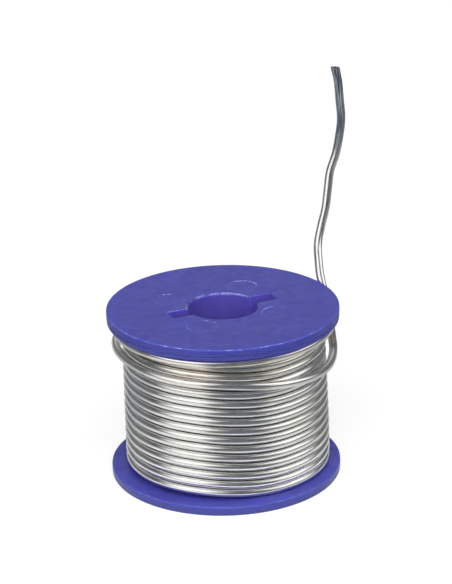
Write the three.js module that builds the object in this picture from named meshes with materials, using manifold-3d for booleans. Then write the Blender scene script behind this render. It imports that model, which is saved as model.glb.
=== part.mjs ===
// A spool of flux-cored solder wire: one plastic moulding, and one long wire wound on it.
// Millimetres, Z up. The origin is the middle of the underside, and the drive slots lie along X.
// Angles are in degrees from +X, and they grow anticlockwise seen from above.
import * as THREE from "three";
import Module from "manifold-3d";

const wasm = await Module();
wasm.setup();
const { Manifold, CrossSection } = wasm;

// ---- Sizes: the moulding
const spoolHeight = 40;
const flangeRadius = 26.5;
const flangeThickness = 2.1;
const rimEdge = 0.25; // small bevel on each edge of a rim
const rimStepIn = 0.12; // the side cores leave the lower part of the top rim this much smaller
const rimStepDrop = 1.65; // from the top face down to that step
const barrelRadius = 15;
const boreRadius = 8;
const boreChamfer = 0.5;
const slotWidth = 4;
const slotReach = 13; // from the axis to the end of a drive slot
const slotEndFillet = 0.5;
const slotMouthFillet = 0.8;
const ejectorCount = 4;
const ejectorRadius = 3.4;
const ejectorCircle = 13; // from the axis to the middle of an ejector mark
const ejectorDepth = 0.15;
const ejectorFirstAngle = 45;

// ---- Sizes: the wire
const wireRadius = 1;
const fluxRadius = 0.36;
const fluxClearance = 0.12; // round the flux in its channel
const innerLayers = 3.1; // layers under the outer one, in wire diameters up from the barrel
const layerGap = 0.5; // between the plain inner winding and the outer layer
const looseLift = 2.4; // a loose turn lies this much further out than the outer layer
const restGap = 0.3; // between pieces that touch on the real spool
const turnGap = 0.42; // least space between neighbouring turns

// ---- Facets
const rimFacets = 96;
const boreFacets = 64;
const markFacets = 24;
const loopSteps = 24;
const loopSides = 6;
const tailSides = 8;
const fluxSides = 6;
const tailStep = 4; // length of one straight step of the free end

const plastic = { color: 0x4b4fa3, roughness: 0.45, metalness: 0 };
const solder = { color: 0xc4c6c8, roughness: 0.3, metalness: 0.9 };
const rosin = { color: 0xb98a3c, roughness: 0.5, metalness: 0 };

// ---- Places that follow from the sizes
const lowerFace = flangeThickness; // inner face of the bottom flange
const upperFace = spoolHeight - flangeThickness; // inner face of the top flange
const coreRadius = barrelRadius + restGap + 2 * wireRadius * innerLayers * (Math.sqrt(3) / 2);
const layerRadius = coreRadius + layerGap + wireRadius; // middle of the wire in the outer layer
const halfFlat = wireRadius * Math.cos(Math.PI / loopSides); // flats of the wire face its neighbours
const topLevel = upperFace - restGap - halfFlat; // the first turn lies under the top flange
const endLevel = lowerFace + restGap + halfFlat; // the last turn lies on the bottom flange
const leastPitch = 2 * halfFlat + turnGap;
const wholeTurns = Math.floor((topLevel - endLevel) / leastPitch - 0.5);
const turnsDown = wholeTurns + 0.5; // it ends half a turn round from where its turns begin to drop
const pitch = (topLevel - endLevel) / turnsDown;

const radians = THREE.MathUtils.degToRad;
const smooth = (x) => THREE.MathUtils.smoothstep(x, 0, 1);
const ramp = (angle, from, to) => smooth((angle - from) / (to - from));

function fromCylinder(angle, radius, height) {
  return new THREE.Vector3(radius * Math.cos(radians(angle)), radius * Math.sin(radians(angle)), height);
}

// ---- The moulding
function revolved(profile, facets) {
  return Manifold.revolve([profile], facets);
}

function spoolBody() {
  const stepRadius = flangeRadius - rimStepIn;
  const stepHeight = spoolHeight - rimStepDrop;
  const solid = revolved(
    [
      [0, 0],
      [flangeRadius - rimEdge, 0],
      [flangeRadius, rimEdge],
      [flangeRadius, lowerFace - rimEdge],
      [flangeRadius - rimEdge, lowerFace],
      [barrelRadius, lowerFace],
      [barrelRadius, upperFace],
      [stepRadius, upperFace],
      [stepRadius, stepHeight],
      [flangeRadius, stepHeight],
      [flangeRadius, spoolHeight - rimEdge],
      [flangeRadius - rimEdge, spoolHeight],
      [0, spoolHeight],
    ],
    rimFacets,
  );
  // The bore and its two drive slots are one opening, with round corners.
  const slot = CrossSection.square([2 * slotReach, slotWidth], true)
    .offset(-slotEndFillet, "Miter")
    .offset(slotEndFillet, "Round", 2, 32);
  const opening = CrossSection.circle(boreRadius, boreFacets)
    .add(slot)
    .offset(slotMouthFillet, "Round", 2, 32)
    .offset(-slotMouthFillet, "Round", 2, 32)
    .simplify(0.01);
  const cuts = [opening.extrude(spoolHeight + 2).translate([0, 0, -1])];
  const mouth = boreRadius + boreChamfer;
  cuts.push(Manifold.cylinder(boreChamfer, mouth, boreRadius, boreFacets));
  const topMouth = Manifold.cylinder(boreChamfer, boreRadius, mouth, boreFacets);
  cuts.push(topMouth.translate([0, 0, spoolHeight - boreChamfer]));
  for (let i = 0; i < ejectorCount; i++) {
    const place = fromCylinder(ejectorFirstAngle + (i * 360) / ejectorCount, ejectorCircle, 0);
    const mark = Manifold.cylinder(2 * ejectorDepth, ejectorRadius, ejectorRadius, markFacets);
    cuts.push(mark.translate([place.x, place.y, spoolHeight - ejectorDepth]));
  }
  return solid.subtract(Manifold.union(cuts));
}

// ---- The winding
// The outer layer comes out of the layers below it under the top flange, lies loose for its first
// turn, then goes down the drum. Its turns are level, and drop half a pitch twice a round, as each
// crosses the turns below it.
const startAngle = 36;
const liftFrom = 80; // the first turn moves out over the rest
const liftTo = 125;
const sagFrom = 150; // and hangs a little lower
const sagTo = 185;
const sag = 0.7;
const firstDropFrom = 340; // then it goes under its own start
const firstDropTo = 400;
const settleFrom = 430; // and back in to the layer
const settleTo = 490;
const crossingMiddle = 249; // where the turns cross the layer below, and again half a round on
const crossingHalf = 29;
const runOut = 87; // the layer's last stretch, after its last crossing
const firstCrossing = crossingMiddle + 360;
const crossings = 2 * (turnsDown - 1);
const loopAngle = 360 / loopSteps;
const layerSteps = Math.round((firstCrossing + 180 * (crossings - 1) + runOut - startAngle) / loopAngle);
const layerEnd = startAngle + layerSteps * loopAngle;

function layerPoint(angle) {
  const lift = looseLift * (ramp(angle, liftFrom, liftTo) - ramp(angle, settleFrom, settleTo));
  let drop = ramp(angle, firstDropFrom, firstDropTo);
  for (let i = 0; i < crossings; i++) {
    const middle = firstCrossing + 180 * i;
    drop += 0.5 * ramp(angle, middle - crossingHalf, middle + crossingHalf);
  }
  const sagging = sag * (ramp(angle, sagFrom, sagTo) - ramp(angle, firstDropFrom, firstDropTo));
  return fromCylinder(angle, layerRadius + lift, topLevel - pitch * drop - sagging);
}

// The inner layers stay plain, but for the last of their wire, which climbs out to the outer layer.
const climbOutAngle = 50;
const climbOutSteps = 6;

function climbOutPoint(angle) {
  const sunk = coreRadius - wireRadius;
  const out = ramp(angle, startAngle - climbOutAngle, startAngle);
  return fromCylinder(angle, sunk + (layerRadius - sunk) * out, topLevel);
}

// A stretch of wire whose middle is a function of the angle round the spool.
class Wound extends THREE.Curve {
  constructor(pointAt, from, to) {
    super();
    Object.assign(this, { pointAt, from, to });
  }
  getPoint(t, target = new THREE.Vector3()) {
    return target.copy(this.pointAt(this.from + (this.to - this.from) * t));
  }
}

// A tube of flat-sided rings along a curve. Corners of a ring point out from the spool's axis.
function ringTube(curve, steps, radius, sides) {
  const positions = [];
  const faces = [];
  const up = new THREE.Vector3(0, 0, 1);
  for (let ring = 0; ring <= steps; ring++) {
    const middle = curve.getPoint(ring / steps);
    const along = curve.getTangent(ring / steps);
    const out = along.clone().cross(up).normalize();
    const across = along.clone().cross(out);
    for (let side = 0; side < sides; side++) {
      const turn = (2 * Math.PI * side) / sides;
      const corner = middle
        .clone()
        .addScaledVector(out, radius * Math.cos(turn))
        .addScaledVector(across, radius * Math.sin(turn));
      positions.push(corner.x, corner.y, corner.z);
    }
  }
  const at = (ring, side) => ring * sides + (side % sides);
  for (let ring = 0; ring < steps; ring++) {
    for (let side = 0; side < sides; side++) {
      faces.push(at(ring, side), at(ring, side + 1), at(ring + 1, side + 1));
      faces.push(at(ring, side), at(ring + 1, side + 1), at(ring + 1, side));
    }
  }
  for (let side = 1; side + 1 < sides; side++) {
    faces.push(at(0, 0), at(0, side + 1), at(0, side));
    faces.push(at(steps, 0), at(steps, side), at(steps, side + 1));
  }
  const geometry = new THREE.BufferGeometry();
  geometry.setAttribute("position", new THREE.Float32BufferAttribute(positions, 3));
  geometry.setIndex(faces);
  return geometry;
}

function everyStep(from, to, step, pointAt) {
  const count = Math.max(2, Math.round((to - from) / step));
  return Array.from({ length: count + 1 }, (_, i) => pointAt(from + ((to - from) * i) / count));
}

// ---- The loose end: one route, from the end of the outer layer to the cut tip
// Up the back of the winding: degrees after the layer's end, share of the lift, share of the climb.
const climbStops = [
  [0, 0, 0],
  [15, 0.45, 0.002],
  [30, 1, 0.035],
  [50, 1, 0.17],
  [80, 1, 0.43],
  [110, 1, 0.69],
  [140, 1, 0.9],
  [165, 1, 0.988],
];
// Round the front in one slack turn: degrees, further out than the lift, below the top flange.
const slackStops = [
  [190, 0, 5.95],
  [215, 0, 6.1],
  [240, 0, 6.7],
  [270, 0, 7.1],
  [300, 0, 8.6],
  [330, 0.1, 9.9],
  [345, 0.3, 9.9],
  [360, 0.5, 9.2],
];
// The free end, from the last of those: out past the rim of the top flange, and up.
const tailStops = [
  [1.4, 3.3, 1.5],
  [2.6, 6.3, 2.6],
  [3.8, 9.3, 3.5],
  [4.7, 12.2, 4.9],
  [5.1, 13.9, 6.9],
  [4.9, 14.7, 9.2],
  [5.0, 16.3, 11.7],
  [5.5, 18.0, 14.3],
  [6.6, 20.5, 17.8],
  [8.2, 21.9, 21.6],
  [9.6, 22.4, 25.6],
  [10.6, 23.2, 29.6],
  [11.7, 24.1, 33.7],
  [13.3, 24.2, 37.9],
  [14.2, 24.1, 42.2],
  [14.6, 23.9, 46.5],
  [14.3, 24.0, 50.9],
  [13.9, 24.0, 55.3],
  [13.2, 24.1, 58.9],
];

const crest = upperFace - slackStops[0][2];
const woundStops = [
  ...climbStops.map(([angle, lift, climb]) => [
    layerEnd + angle,
    layerRadius + looseLift * lift,
    endLevel + (crest - endLevel) * climb,
  ]),
  ...slackStops.map(([angle, further, below]) => [
    layerEnd + angle,
    layerRadius + looseLift + further,
    upperFace - below,
  ]),
];

// Angle, radius and height change smoothly from stop to stop.
function woundPoint(angle) {
  const last = woundStops.length - 2;
  const found = woundStops.findIndex((stop) => stop[0] > angle) - 1;
  const i = found < 0 ? last : Math.min(found, last);
  const stops = [woundStops[Math.max(i - 1, 0)], woundStops[i], woundStops[i + 1]];
  stops.push(woundStops[Math.min(i + 2, last + 1)]);
  const share = (angle - stops[1][0]) / (stops[2][0] - stops[1][0]);
  const between = (k) => {
    const slopeIn = (stops[2][k] - stops[0][k]) / (stops[2][0] - stops[0][0]);
    const slopeOut = (stops[3][k] - stops[1][k]) / (stops[3][0] - stops[1][0]);
    const width = stops[2][0] - stops[1][0];
    const [s, t] = [share, 1 - share];
    const start = stops[1][k] * (1 + 2 * s) * t * t + slopeIn * width * s * t * t;
    return start + stops[2][k] * s * s * (3 - 2 * s) - slopeOut * width * s * s * t;
  };
  return fromCylinder(angle, between(1), between(2));
}

// A stretch of a longer route, from one length along it to another.
class Stretch extends THREE.Curve {
  constructor(route, from, to) {
    super();
    Object.assign(this, { route, from, to });
  }
  getPoint(t, target = new THREE.Vector3()) {
    const along = this.from + (this.to - this.from) * t;
    return this.route.getPointAt(along / this.route.getLength(), target);
  }
}

const slackEnd = slackStops[slackStops.length - 1][0];
const faceGapAngle = THREE.MathUtils.radToDeg(restGap / layerRadius);
const loosePoints = everyStep(layerEnd + faceGapAngle, layerEnd + slackEnd, loopAngle, woundPoint);
const tailExit = loosePoints[loosePoints.length - 1];
const tailPoints = tailStops.map((stop) => tailExit.clone().add(new THREE.Vector3(...stop)));
const looseRoute = new THREE.CatmullRomCurve3([...loosePoints, ...tailPoints], false, "centripetal");
const piecesOfStep = 50; // for measuring along the route
looseRoute.arcLengthDivisions = piecesOfStep * (looseRoute.points.length - 1);
const exitLength = looseRoute.getLengths()[piecesOfStep * (loosePoints.length - 1)];
const looseTurn = new Stretch(looseRoute, 0, exitLength - restGap / 2);
const freeEnd = new Stretch(looseRoute, exitLength + restGap / 2, looseRoute.getLength());
const tailLength = freeEnd.to - freeEnd.from;
const looseSteps = Math.round(((looseTurn.to - looseTurn.from) / (2 * Math.PI * layerRadius)) * loopSteps);
const tailSteps = Math.round(tailLength / tailStep);

function polygon(radius, sides) {
  return Array.from({ length: sides }, (_, i) => {
    const turn = (2 * Math.PI * i) / sides;
    return new THREE.Vector2(radius * Math.cos(turn), radius * Math.sin(turn));
  });
}

function alongTail(section) {
  return new THREE.ExtrudeGeometry(section, { steps: tailSteps, extrudePath: freeEnd });
}

function freeTail() {
  const section = new THREE.Shape(polygon(wireRadius, tailSides));
  section.holes.push(new THREE.Path(polygon(fluxRadius + fluxClearance, fluxSides)));
  return alongTail(section);
}

// ---- Checks on the wound forms
// The least distance between the corners of two tubes. Of one and the same tube, only corners that
// lie half a loop or more apart along it count.
function leastGap(one, other) {
  const a = one.getAttribute("position");
  const b = other.getAttribute("position");
  const apart = (loopSteps / 2) * loopSides;
  let least = Infinity;
  for (let i = 0; i < a.count; i++) {
    for (let k = one === other ? i + apart : 0; k < b.count; k++) {
      const height = a.getZ(i) - b.getZ(k);
      if (Math.abs(height) >= least) continue;
      least = Math.min(least, Math.hypot(a.getX(i) - b.getX(k), a.getY(i) - b.getY(k), height));
    }
  }
  return least;
}

// ---- The part
const part = new THREE.Group();
part.name = "solder_wire_spool";

function addPiece(name, geometry, look) {
  const mesh = new THREE.Mesh(geometry, new THREE.MeshStandardMaterial(look));
  mesh.name = name;
  part.add(mesh);
}

function toGeometry(solid) {
  const mesh = solid.getMesh();
  const geometry = new THREE.BufferGeometry();
  geometry.setAttribute("position", new THREE.Float32BufferAttribute(mesh.vertProperties, 3));
  geometry.setIndex(Array.from(mesh.triVerts));
  return geometry;
}

function toSolid(geometry) {
  return new Manifold(
    new wasm.Mesh({
      numProp: 3,
      vertProperties: geometry.getAttribute("position").array,
      triVerts: new Uint32Array(geometry.index.array),
    }),
  );
}

function innerWinding() {
  const inside = barrelRadius + restGap;
  const ring = revolved(
    [
      [inside, lowerFace + restGap],
      [coreRadius, lowerFace + restGap],
      [coreRadius, upperFace - restGap],
      [inside, upperFace - restGap],
    ],
    rimFacets,
  );
  const climbOut = new Wound(climbOutPoint, startAngle - climbOutAngle, startAngle - faceGapAngle);
  return ring.add(toSolid(ringTube(climbOut, climbOutSteps, wireRadius, loopSides)));
}

const outerLayer = ringTube(new Wound(layerPoint, startAngle, layerEnd), layerSteps, wireRadius, loopSides);
const looseTurns = ringTube(looseTurn, looseSteps, wireRadius, loopSides);

addPiece("spool_body", toGeometry(spoolBody()), plastic);
addPiece("winding_inner_layers", toGeometry(innerWinding()), solder);
addPiece("winding_outer_layer", outerLayer, solder);
addPiece("loose_turns", looseTurns, solder);
addPiece("free_tail", freeTail(), solder);
addPiece("free_tail_flux", alongTail(new THREE.Shape(polygon(fluxRadius, fluxSides))), rosin);

const turns = (layerEnd - startAngle) / 360;
console.log(`outer layer: ${turns.toFixed(2)} turns, pitch ${pitch.toFixed(3)} mm`);
console.log(`outer layer: least gap to itself ${leastGap(outerLayer, outerLayer).toFixed(3)} mm`);
console.log(`loose turns: least gap to itself ${leastGap(looseTurns, looseTurns).toFixed(3)} mm`);
console.log(`loose turns to outer layer: ${leastGap(looseTurns, outerLayer).toFixed(3)} mm`);
console.log(`free tail: ${tailLength.toFixed(1)} mm long`);

export default part;
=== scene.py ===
# %% [markdown]
# # A spool of solder wire
# A moulded blue spool, and one long solder wire wound on it: three plain layers that hardly show,
# an outer layer of level turns, one slack turn round the top, and a free end that stands up. Each
# step below says what the piece is on the real object, how it could be made, and why this way was
# chosen. Sizes are written in millimetres and multiplied by MM, because Blender works in metres.

# %% Load the fixed frame
import math

import bmesh
import bpy
from mathutils import Matrix, Vector


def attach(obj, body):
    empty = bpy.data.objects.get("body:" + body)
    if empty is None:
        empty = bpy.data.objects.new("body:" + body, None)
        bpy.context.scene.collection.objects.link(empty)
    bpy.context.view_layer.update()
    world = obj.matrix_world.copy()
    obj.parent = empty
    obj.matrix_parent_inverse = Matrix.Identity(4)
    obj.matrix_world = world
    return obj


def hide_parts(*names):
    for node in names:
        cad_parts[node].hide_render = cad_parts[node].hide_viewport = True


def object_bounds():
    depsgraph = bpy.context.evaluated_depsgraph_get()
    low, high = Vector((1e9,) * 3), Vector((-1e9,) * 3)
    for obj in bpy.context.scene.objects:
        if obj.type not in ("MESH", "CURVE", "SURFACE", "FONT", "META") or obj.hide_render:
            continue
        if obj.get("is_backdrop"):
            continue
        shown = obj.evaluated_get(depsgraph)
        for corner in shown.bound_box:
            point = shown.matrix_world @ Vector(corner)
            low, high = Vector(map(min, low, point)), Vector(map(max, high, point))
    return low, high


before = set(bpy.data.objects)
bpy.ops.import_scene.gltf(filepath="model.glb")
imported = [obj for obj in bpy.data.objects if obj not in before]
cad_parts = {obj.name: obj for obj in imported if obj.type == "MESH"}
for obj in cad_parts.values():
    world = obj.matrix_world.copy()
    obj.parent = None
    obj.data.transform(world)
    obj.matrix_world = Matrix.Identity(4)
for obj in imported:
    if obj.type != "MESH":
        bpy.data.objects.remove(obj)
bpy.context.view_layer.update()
MM = 0.001
print("nodes of the frame:", ", ".join(sorted(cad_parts)))

# %% [markdown]
# ## The camera
# The photograph was taken with a long lens from a little above. Its place and lens come from
# fitting both rims of the spool, and the drive slots say how far the spool is turned. The picture
# is a degree or so out of level, so the camera's own axes are set rather than aimed with a
# constraint. Directions are easiest to give as the camera sees them: right, away and up.

# %% Camera
SPOOL_TURN = math.radians(-24.2)  # the spool's own X axis, seen from the camera
VIEW_TURN = Matrix.Rotation(SPOOL_TURN, 3, "Z")


def seen(right, away, up):
    """A place or direction given as the camera sees it, in the frame's own axes."""
    return VIEW_TURN @ Vector((right, away, up))


EYE = seen(0, -510.68 * MM, 241.17 * MM)
AIM = seen(0.836 * MM, 0, 43.286 * MM)
ROLL = math.radians(-1.33)
LENS = 148.99  # on Blender's own 36 mm sensor

back = (EYE - AIM).normalized()
level_right = Vector((0, 0, 1)).cross(back).normalized()
level_up = back.cross(level_right)
right = level_right * math.cos(ROLL) + level_up * math.sin(ROLL)
camera = bpy.data.objects.new("camera", bpy.data.cameras.new("camera"))
axes = Matrix((right, back.cross(right), back)).transposed()
camera.matrix_world = Matrix.Translation(EYE) @ axes.to_4x4()
camera.data.lens = LENS
camera.data.clip_start, camera.data.clip_end = 0.01, 50
bpy.context.collection.objects.link(camera)
bpy.context.scene.camera = camera
print(f"camera {EYE.length:.3f} m from the spool's foot, lens {LENS} mm")

# %% [markdown]
# ## The route of the wire
# The whole wire is one path, so its shape is written as places round the spool: an angle, how far
# out the middle of the wire is, and how high. A turn of the outer layer is level and drops half a
# pitch where it crosses the turns below it, on the front and again on the back. Blender could wind
# a helix with the Screw modifier, but that gives one even slope, and the eye sees at once that
# real turns step down in places. Low down at the right of the photograph the drum is a little
# fuller, where the hidden layers cross, and the same rule says so.

# %% Sizes of the wire and its winding
WIRE_RADIUS = 0.99 * MM
LAYER_RADIUS = 22.16 * MM  # middle of the wire in the outer layer
TOP_LEVEL = 36.78 * MM  # where the outer layer starts, under the top flange
SECOND_LEVEL = 34.46 * MM  # the first turn that lies on the drum
LAST_LEVEL = 3.1 * MM  # on the bottom flange
STEP_DOWN = 1.0885 * MM
CROSSINGS = 29
LIFT = 2.4 * MM  # a loose turn lies this much further out
BULGE = 0.92 * MM  # how much fuller the drum is at the right
BULGE_FADES_FROM, BULGE_FADES_TO = 5 * MM, 42 * MM
SAG = 0.75 * MM  # the first turn hangs this much below the top flange
START_ANGLE = 36  # in degrees, anticlockwise from the slots
LAYER_END = 5736
FIRST_CROSSING = 609
HALF_CROSSING = 29
print(f"outer layer: {(LAYER_END - START_ANGLE) / 360:.1f} turns")

# %% The rule of the outer layer
def ramp(value, start, end):
    """Goes smoothly from 0 to 1 as the value goes from start to end."""
    share = min(max((value - start) / (end - start), 0), 1)
    return share * share * (3 - 2 * share)


def round_spool(angle, out, height):
    """The place at this angle in degrees, this far from the axis and this high."""
    turn = math.radians(angle)
    return Vector((out * math.cos(turn), out * math.sin(turn), height))


def outer_layer(angle):
    """The middle of the wire in the outer layer, which starts loose and then lies on the drum."""
    lift = LIFT * (ramp(angle, 80, 125) - ramp(angle, 430, 490))
    sag = SAG * (ramp(angle, 150, 185) - ramp(angle, 340, 400))
    height = TOP_LEVEL - sag - (TOP_LEVEL - SECOND_LEVEL) * ramp(angle, 340, 400)
    for crossing in range(CROSSINGS):
        middle = FIRST_CROSSING + 180 * crossing
        step = STEP_DOWN if crossing < CROSSINGS - 1 else height - LAST_LEVEL
        height -= step * ramp(angle, middle - HALF_CROSSING, middle + HALF_CROSSING)
    at_right = max(0, math.cos(math.radians(angle) - SPOOL_TURN)) ** 2
    low_down = 1 - ramp(height, BULGE_FADES_FROM, BULGE_FADES_TO)
    return round_spool(angle, LAYER_RADIUS + lift + BULGE * at_right * low_down, height)


first, last = (outer_layer(angle) / MM for angle in (START_ANGLE, LAYER_END))
print(f"the layer starts {first.z:.1f} mm up and ends {last.z:.1f} mm up")

# %% [markdown]
# ### The slack turn and the free end
# After its last turn the wire climbs over the turns at the back, goes once round the front without
# touching them, and stands up past the rim. These stretches have no rule, so they are a list of
# stops, read off the photograph where it shows them. The curve has to pass through every stop, so
# it is a Hermite curve in angle, distance and height, and a centripetal one through the free
# points.

# %% Stops of the slack turn and points of the free end
CREST = 31.95 * MM
# Degrees after the layer's end, share of the lift, share of the climb. It starts on the bulge.
CLIMB = [
    (0, BULGE / LIFT, 0), (15, 0.6, 0.002), (30, 1.05, 0.035), (50, 1.02, 0.17), (80, 1, 0.43),
    (110, 1, 0.69), (140, 1, 0.9), (165, 1, 0.988),
]
SLACK = [  # degrees, further out than the lift, height
    (190, 0, 31.95), (215, 0, 31.8), (240, 0, 31.2), (270, 0, 30.8), (300, 0, 29.3),
    (330, 0.1, 28.0), (345, 0.3, 28.0), (360, 0.5, 28.7),
]
FREE_END = [  # from the last stop, in millimetres
    (1.4, 3.3, 1.5), (2.6, 6.3, 2.6), (3.8, 9.3, 3.5), (4.7, 12.2, 4.9), (5.1, 13.9, 6.9),
    (4.9, 14.7, 9.2), (5.0, 16.3, 11.7), (5.5, 18.0, 14.3), (6.6, 20.5, 17.8), (8.2, 21.9, 21.6),
    (9.6, 22.4, 25.6), (10.6, 23.2, 29.6), (11.7, 24.1, 33.7), (13.3, 24.2, 37.9),
    (14.2, 24.1, 42.2), (14.6, 23.9, 46.5), (14.3, 24.0, 50.9), (13.9, 24.0, 55.3),
    (13.2, 24.1, 58.9),
]
stops = [
    (LAYER_END + angle, LAYER_RADIUS + LIFT * lift, LAST_LEVEL + (CREST - LAST_LEVEL) * climb)
    for angle, lift, climb in CLIMB
] + [
    (LAYER_END + angle, LAYER_RADIUS + LIFT + further * MM, height * MM)
    for angle, further, height in SLACK
]
print("stops of the slack turn:", len(stops))


# %% Smooth curves through the stops
def hermite(start, end, slope_in, slope_out, s):
    """The share s of the way along a curve that leaves and arrives with these slopes."""
    t = 1 - s
    from_start = start * ((1 + 2 * s) * t * t) + slope_in * (s * t * t)
    return from_start + end * (s * s * (3 - 2 * s)) - slope_out * (s * s * t)


def through_stops(angle):
    """The slack turn at this angle: a smooth curve through the stops."""
    i = max([k for k in range(len(stops) - 1) if stops[k][0] <= angle], default=0)
    before, start = stops[max(i - 1, 0)], stops[i]
    end, after = stops[i + 1], stops[min(i + 2, len(stops) - 1)]
    width = end[0] - start[0]
    out, height = (
        hermite(
            start[k],
            end[k],
            width * (end[k] - before[k]) / (end[0] - before[0]),
            width * (after[k] - start[k]) / (after[0] - start[0]),
            (angle - start[0]) / width,
        )
        for k in (1, 2)
    )
    return round_spool(angle, out, height)


def every(start, end, step):
    """Angles from start to end, as near to the step as divides evenly."""
    count = round((end - start) / step)
    return [start + (end - start) * i / count for i in range(count + 1)]


def centripetal(points, spacing):
    """Points on a smooth curve through all the given points, with no loop or overshoot."""
    points = [2 * points[0] - points[1], *points, 2 * points[-1] - points[-2]]
    route = []
    for a, b, c, d in zip(points, points[1:], points[2:], points[3:]):
        before, width, after = (math.sqrt((q - p).length) for p, q in ((a, b), (b, c), (c, d)))
        slope_in = ((b - a) / before - (c - a) / (before + width)) * width + (c - b)
        slope_out = ((d - c) / after - (d - b) / (width + after)) * width + (c - b)
        count = max(2, round((c - b).length / spacing))
        route += [hermite(b, c, slope_in, slope_out, i / count) for i in range(count)]
    return route + [points[-2].copy()]


print(f"the wire leaves the layer {through_stops(LAYER_END).xy.length / MM:.1f} mm out")

# %% Route of the free end
EXIT = through_stops(LAYER_END + SLACK[-1][0])
approach = [through_stops(LAYER_END + angle) for angle in every(270, 360, 15)]
free_points = approach + [EXIT + Vector(offset) * MM for offset in FREE_END]
whole_route = centripetal(free_points, 0.8 * MM)
exit_index = min(range(len(whole_route)), key=lambda i: (whole_route[i] - EXIT).length)
tail_route = whole_route[exit_index:]

# %% [markdown]
# ## Bending wire
# A curve with a round bevel is the usual way to draw wire: the route stays a plain list of points
# and Blender keeps the section square to it. The curve is then made a mesh, so that its ends can
# be cut and shaped with bmesh operators. Its UV map is given in metres, across and along the wire,
# so that fine drawn lines can follow every bend at their real size.

# %% A helper that bends wire
def final_mesh(drawn):
    """The mesh that a curve, or an object with modifiers, ends up as."""
    depsgraph = bpy.context.evaluated_depsgraph_get()
    return bpy.data.meshes.new_from_object(drawn.evaluated_get(depsgraph))


def bend_wire(name, route, radius, sides=20):
    """A bmesh tube, open at both ends, along the route."""
    curve = bpy.data.curves.new(name, "CURVE")
    curve.dimensions = "3D"
    curve.bevel_depth = radius
    curve.bevel_resolution = sides // 2 - 2
    spline = curve.splines.new("POLY")
    spline.points.add(len(route) - 1)
    for point, place in zip(spline.points, route):
        point.co = (*place, 1)
    drawn = bpy.data.objects.new(name, curve)
    bpy.context.collection.objects.link(drawn)
    mesh = final_mesh(drawn)
    bpy.data.objects.remove(drawn)
    tube = bmesh.new()
    tube.from_mesh(mesh)
    along = [0.0]
    for p, q in zip(route, route[1:]):
        along.append(along[-1] + (q - p).length)
    uv = tube.loops.layers.uv.verify()
    for face in tube.faces:
        for loop in face.loops:
            share, across = loop[uv].uv
            loop[uv].uv = (across * 2 * math.pi * radius, along[round(share * (len(route) - 1))])
    return tube


def close_ends(tube):
    """Closes both ends of a tube with a flat face."""
    open_edges = [edge for edge in tube.edges if edge.is_boundary]
    bmesh.ops.holes_fill(tube, edges=open_edges, sides=0)


def finish_piece(name, piece, sharp_angle=35):
    """Makes an object of a finished bmesh, smooth but for its sharp edges."""
    bmesh.ops.recalc_face_normals(piece, faces=piece.faces)
    mesh = bpy.data.meshes.new(name)
    piece.to_mesh(mesh)
    piece.free()
    mesh.polygons.foreach_set("use_smooth", [True] * len(mesh.polygons))
    mesh.set_sharp_from_angle(angle=math.radians(sharp_angle))
    made = bpy.data.objects.new(name, mesh)
    bpy.context.collection.objects.link(made)
    mesh.calc_loop_triangles()
    print(f"{name}: {len(mesh.loop_triangles)} triangles")
    return made


# %% [markdown]
# ### The free end
# Flux-cored wire is a metal tube with rosin in its middle, and a side cutter leaves it slightly
# flattened at the cut, with the rosin a little way down. So the free end is an outer and an inner
# tube whose open ends are bridged, and a thin core inside it stops short of the tip. The pinch
# could be a lattice, but a short rule for each point also slants the cut.

# %% Shape of the cut tip
PINCH_LENGTH = 2.2 * MM
PINCH, SPREAD = 0.22, 0.1  # thinner one way and wider the other, as shares of the wire
SLANT, HOLLOW = 0.18, 0.12  # slope of the cut across, and how far it falls off in front and behind
CUT_FACE = 0.3 * MM  # points this near the tip belong to the cut
tip = tail_route[-1]
tip_way = (tail_route[-1] - tail_route[-3]).normalized()
pinch_way = seen(0.35, 0.94, 0).normalized()
pinch_way = (pinch_way - tip_way * pinch_way.dot(tip_way)).normalized()
wide_way = tip_way.cross(pinch_way)


def pinch_tip(tube):
    """Flattens the last stretch of the wire as a side cutter does, and slants the cut."""
    for vert in tube.verts:
        from_tip = vert.co - tip
        down = -from_tip.dot(tip_way)
        if not -0.5 * MM < down < PINCH_LENGTH or from_tip.length > 2 * PINCH_LENGTH:
            continue
        share = 1 - ramp(down, 0, PINCH_LENGTH)
        thick, wide = from_tip.dot(pinch_way), from_tip.dot(wide_way)
        vert.co -= pinch_way * thick * PINCH * share
        vert.co += wide_way * wide * SPREAD * share
        if down < CUT_FACE:
            vert.co += tip_way * (SLANT * wide - HOLLOW * abs(thick))


print(f"the tip is pinched over its last {PINCH_LENGTH / MM:.1f} mm")

# %% Free end
CHANNEL_RADIUS = 0.42 * MM
tail = bend_wire("free_end", tail_route, WIRE_RADIUS)
channel = bend_wire("channel", tail_route, CHANNEL_RADIUS)
bmesh.ops.reverse_faces(channel, faces=channel.faces)
inner_mesh = bpy.data.meshes.new("channel")
channel.to_mesh(inner_mesh)
channel.free()
tail.from_mesh(inner_mesh)
rims = [edge for edge in tail.edges if edge.is_boundary]
for at in (tail_route[0], tip):
    pair = [edge for edge in rims if (edge.verts[0].co - at).length < 2 * WIRE_RADIUS]
    bmesh.ops.bridge_loops(tail, edges=pair)
pinch_tip(tail)
free_end = finish_piece("free_end", tail)

# %% Flux core
FLUX_RADIUS = 0.4 * MM
FLUX_STOPS_SHORT = 0.9 * MM
core_route = [p for p in tail_route if (p - tip).length > FLUX_STOPS_SHORT]
core = bend_wire("flux_core", core_route, FLUX_RADIUS, sides=12)
close_ends(core)
pinch_tip(core)
flux_core = finish_piece("flux_core", core)

# %% Say what the free end is
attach(free_end, "root")
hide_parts("free_tail")
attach(flux_core, "root")
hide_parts("free_tail_flux")

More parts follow.
